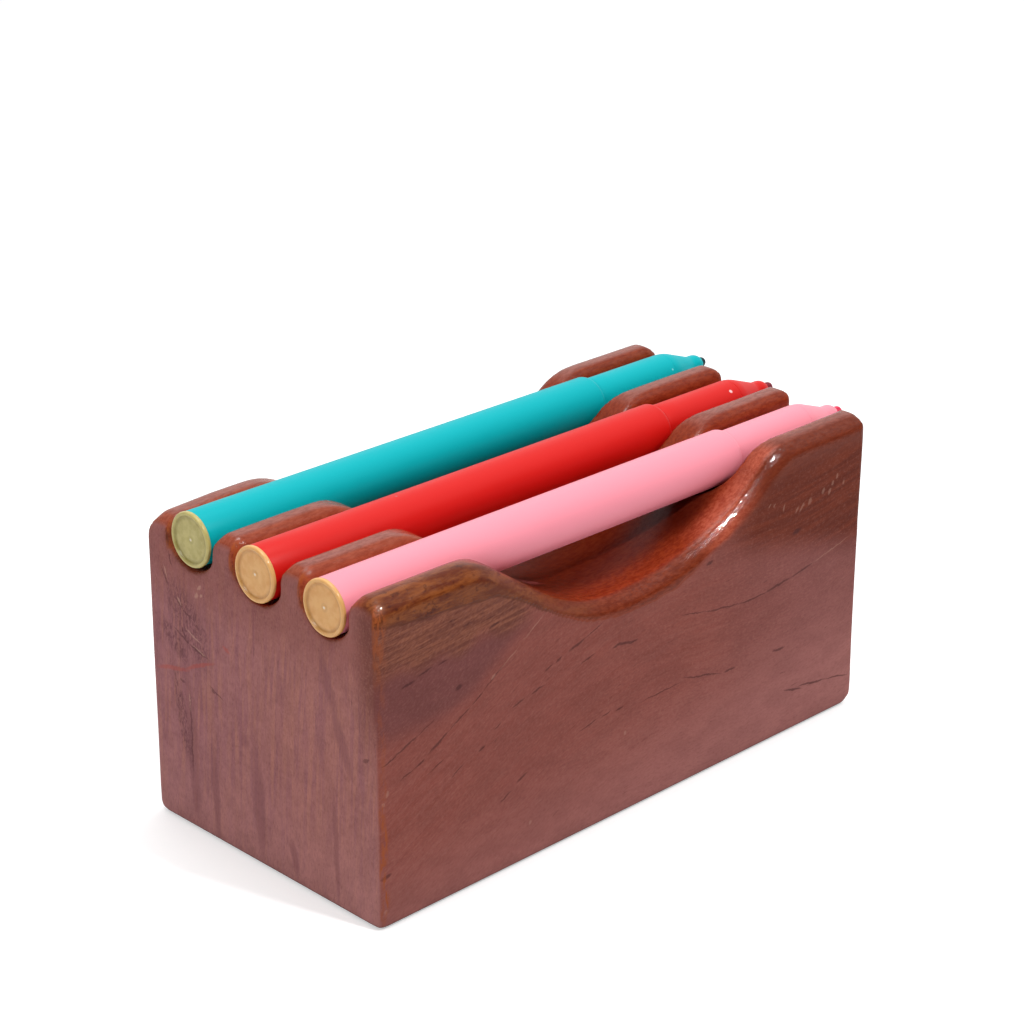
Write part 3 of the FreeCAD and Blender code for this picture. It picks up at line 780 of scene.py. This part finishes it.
NOSE = path(
    (113.6, 1.08), (113.6, 3.27), (121.6, 3.27), (121.6, 4.3), quarter((121.68, 4.29), 0.08, 180, 90, 3),
    arc((121.68, 4.37), (124.0, 3.9), 0.045, 8), (126.2, 3.12), (128.2, 2.42),
    arc((128.5, 2.31), (130.15, 2.02), -0.06, 6), (130.4, 2.02), (130.6, 2.02),
    arc((130.6, 2.02), (132.4, 1.42), 0.09, 8), quarter((132.4, 1.27), 0.15, 70, 0, 4), (132.6, 1.08),
    (113.6, 1.08))


NOSE_END = 132.6
NIB_START = 118.0
NIB_RADIUS = 1.05
NIB_ROUNDING = 1.15


def nib_profile(bare):
    """A round-ended nib that stands out of its nose cone by this much."""
    tip = NOSE_END + bare
    middle = tip - NIB_ROUNDING
    dome = [(middle + NIB_ROUNDING * math.sin(a), NIB_RADIUS * math.cos(a) ** 0.8)
            for a in np.linspace(0.15, 1.5, 10)]
    return path((NIB_START, 0.0), (NIB_START, NIB_RADIUS), (middle, NIB_RADIUS), dome, (tip, 0.0))


def plastic_material(name, color, light, level, spots):
    s = Shader(name)
    place = s.position()
    cloud = s.drawn_noise(place, 0.2, 0.25, 2, 0.5)
    grain = s.noise(place, 7.0, 2, 0.6)
    base = s.mix(s.between(cloud, 0.3, 0.7, 0, 0.12), color, light)
    for centre, size, fleck in spots:
        away = s.vector("LENGTH", s.vector("SUBTRACT", place, centre))
        base = s.mix(s.between(away, size, size * 0.4), base, fleck)
    normal = s.bump(grain, 0.006, 0.6)
    return s.finish(base, s.between(cloud, 0.3, 0.7, 0.40, 0.45), normal, Specular_IOR_Level=level)


def plug_material(name, dark, color, light):
    """Pearly plastic with painted light: a paler rim as a painted highlight, a painted sheen towards the
    middle, painted shade in the crease where the rim meets the sunk face and around the nub, and a painted
    highlight on the nub.
    """
    s = Shader(name)
    place = s.position()
    radius = s.stored("radius", "Fac")
    cloud = s.noise(place, 0.6, 4, 0.6)
    base = s.mix(s.between(cloud, 0.38, 0.62, 0, 0.5), color, light)
    # Painted sheen: the sunk face pales towards its middle.
    base = s.mix(s.between(radius, 3.4, 1.2, 0, 0.35), base, light)
    # Painted highlight: the rim is paler.
    base = s.mix(s.between(radius, 4.36, 4.6, 0, 0.5), base, light)
    # Painted shade in the crease where the rim meets the sunk face, and in a ring around the nub.
    line = s.math("MULTIPLY", s.between(radius, 3.6, 4.25), s.between(radius, 4.5, 4.3))
    dimple_shade = s.math("MULTIPLY", s.between(radius, 0.25, 0.55), s.between(radius, 1.0, 0.65))
    shade = s.math("MAXIMUM", line, s.math("MULTIPLY", dimple_shade, 0.5))
    base = s.mix(s.math("MULTIPLY", shade, 0.35), base, dark)
    # Painted highlight: the nub is near white.
    base = s.mix(s.between(radius, 0.35, 0.15, 0, 0.8), base, linear(255, 244, 222))
    normal = s.bump(s.noise(place, 2.5, 3, 0.6), 0.02, 0.5)
    return s.finish(base, 0.22, normal, Specular_IOR_Level=0.5)


def felt_material(name, color, dark):
    s = Shader(name)
    place = s.vector("MULTIPLY", s.position(), (0.35, 1.0, 1.0))
    fibre = s.noise(place, 6.0, 4, 0.65)
    base = s.mix(s.between(fibre, 0.35, 0.65), dark, color)
    return s.finish(base, 0.6, s.bump(fibre, 0.05, 0.7), Specular_IOR_Level=0.4)


# Each pen's plastic, its paler parts and its specular level, its fibre bright and dark, and the specks on
# its plastic as middle, radius and colour.
PENS = {
    "teal": {"plastic": ((0, 180, 188), (0, 184, 192)), "level": 0.12, "fibre": ((12, 52, 60), (4, 22, 28)),
             "specks": (((57.6, 14.37, 60.4), 0.30, (120, 222, 226)),)},
    "red": {"plastic": ((216, 20, 14), (222, 24, 17)), "level": 0.25, "fibre": ((150, 22, 45), (95, 8, 28)),
            "specks": (((55.96, -2.68, 60.72), 0.50, (255, 205, 205)),
                       ((-30.7, 0.08, 62.6), 0.28, (176, 120, 124)))},
    "pink": {"plastic": ((255, 153, 169), (255, 159, 174)), "level": 0.25,
             "fibre": ((240, 52, 90), (205, 30, 66)), "specks": ()}}


def make_pens():
    # Each plug's first colour is the painted shade in its crease and around its nub; its last colour also
    # gives its painted highlights and sheen.
    gold = plug_material("plug_gold", linear(150, 92, 44), linear(222, 160, 88), linear(238, 184, 116))
    green_gold = plug_material(
        "plug_green_gold", linear(112, 100, 40), linear(176, 162, 92), linear(206, 192, 122))
    for name, look in PENS.items():
        specks = [(middle, size, linear(*color)) for middle, size, color in look["specks"]]
        plastic = plastic_material(f"{name}_plastic", *[linear(*c) for c in look["plastic"]], look["level"],
                                   specks)
        felt = felt_material(f"{name}_fibre", *[linear(*c) for c in look["fibre"]])
        plug, plug_slot = (green_gold, "plug_green_gold") if name == "teal" else (gold, "plug_gold")
        nib = nib_profile(ROWS[name]["nib"])
        body = f"{name}_pen"
        turned(name, BARREL, f"{name}_barrel_turned", body, f"{name}_plastic", plastic, f"{name}_barrel")
        turned(name, PLUG, f"{name}_plug_turned", body, plug_slot, plug, f"{name}_end_plug")
        turned(name, NOSE, f"{name}_nose_turned", body, f"{name}_plastic", plastic, f"{name}_nose_cone")
        turned(name, nib, f"{name}_nib_turned", body, f"{name}_fibre", felt, f"{name}_nib", 48)
        paint(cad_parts[f"{name}_ink_reservoir"], felt)


# Floor, light and camera

def stage_material():
    s = Shader("studio_floor")
    tone = s.noise(s.position(), 0.01, 2, 0.5)
    surface = s.node("BsdfDiffuse")
    s.feed(surface.inputs["Color"], s.mix(tone, (0.76, 0.76, 0.76, 1), (0.79, 0.79, 0.79, 1)))
    glow = s.node("Emission")
    glow.inputs["Color"].default_value = (1, 1, 1, 1)
    seen = s.node("LightPath").outputs["Is Camera Ray"]
    s.feed(glow.inputs["Strength"], s.math("MULTIPLY", seen, 0.45))
    both = s.node("AddShader")
    s.tree.links.new(surface.outputs[0], both.inputs[0])
    s.tree.links.new(glow.outputs[0], both.inputs[1])
    s.tree.links.new(both.outputs[0], s.output.inputs[0])
    return s.material


def make_world():
    """White to the camera. To everything else it is a white backdrop behind the object, dim in front."""
    world = bpy.data.worlds.new("studio")
    bpy.context.scene.world = world
    world.use_nodes = True
    tree = world.node_tree
    tree.nodes.clear()

    def node(kind):
        return tree.nodes.new("ShaderNode" + kind)

    def link(source, target):
        tree.links.new(source, target)

    towards = node("VectorMath")
    towards.operation = "DOT_PRODUCT"
    link(node("TexCoord").outputs["Generated"], towards.inputs[0])
    towards.inputs[1].default_value = (0.62, 0.64, 0.45)
    level = node("MapRange")
    level.interpolation_type = "SMOOTHSTEP"
    link(towards.outputs["Value"], level.inputs["Value"])
    for name, number in (("From Min", 0.0), ("From Max", 0.8), ("To Min", 0.10), ("To Max", 0.95)):
        level.inputs[name].default_value = number
    seen = node("Math")
    seen.operation = "MAXIMUM"
    link(level.outputs["Result"], seen.inputs[0])
    link(node("LightPath").outputs["Is Camera Ray"], seen.inputs[1])
    background = node("Background")
    background.inputs["Color"].default_value = (1, 1, 1, 1)
    link(seen.outputs[0], background.inputs["Strength"])
    link(background.outputs[0], node("OutputWorld").inputs[0])


# Name, place and size in metres, and power in watts.
LAMPS = (
    ("overhead", (0.02, 0.06, 0.80), 0.34, 2.2),
    ("front_high", (0.07, -0.45, 0.67), 0.045, 2.6),
    ("left_fill", (-0.70, 0.0, 0.45), 0.20, 1.5))


LAMP_TARGET = Vector((0, 0, 0.03))
FLOOR_HALF = 3.0
FLOOR_Z = -0.0001


def make_stage():
    mesh = bpy.data.meshes.new("studio_floor")
    corners = [(FLOOR_HALF * x, FLOOR_HALF * y, 0) for x, y in ((-1, -1), (1, -1), (1, 1), (-1, 1))]
    mesh.from_pydata(corners, [], [(0, 1, 2, 3)])
    floor = bpy.data.objects.new("studio_floor", mesh)
    bpy.context.scene.collection.objects.link(floor)
    floor.location.z = FLOOR_Z
    paint(floor, stage_material())
    make_world()
    for name, place, size, power in LAMPS:
        data = bpy.data.lights.new(name, "AREA")
        data.shape = "SQUARE"
        data.size = size
        data.energy = power
        lamp = bpy.data.objects.new(name, data)
        bpy.context.scene.collection.objects.link(lamp)
        lamp.location = place
        lamp.rotation_euler = (LAMP_TARGET - Vector(place)).to_track_quat("-Z", "Y").to_euler()


# The camera that took the photograph: focal length and image width in pixels, where it stands in
# millimetres, and azimuth, elevation and roll in degrees.
FOCAL, IMAGE_WIDTH = 2821.742, 1024
CAMERA_PLACE = (-340.93, -344.57, 256.47)
CAMERA_TURN = (-44.537, 23.019, 0.22)


def make_camera():
    data = bpy.data.cameras.new("camera")
    data.sensor_width = 36.0
    data.lens = FOCAL / IMAGE_WIDTH * data.sensor_width
    data.clip_start, data.clip_end = 0.01, 20.0
    camera = bpy.data.objects.new("camera", data)
    bpy.context.scene.collection.objects.link(camera)
    azimuth, elevation, roll = [math.radians(angle) for angle in CAMERA_TURN]
    back = Vector((math.sin(azimuth) * math.cos(elevation), -math.cos(azimuth) * math.cos(elevation),
                   math.sin(elevation)))
    right = (-back).cross(Vector((0, 0, 1))).normalized()
    up = right.cross(-back)
    turned_right = right * math.cos(roll) + up * math.sin(roll)
    turned_up = up * math.cos(roll) - right * math.sin(roll)
    place = Vector(CAMERA_PLACE) * MM
    camera.matrix_world = Matrix((
        (turned_right.x, turned_up.x, back.x, place.x),
        (turned_right.y, turned_up.y, back.y, place.y),
        (turned_right.z, turned_up.z, back.z, place.z),
        (0, 0, 0, 1)))
    bpy.context.scene.camera = camera


make_block()
make_pens()
make_stage()
make_camera()
bpy.context.scene.view_settings.view_transform = "Standard"
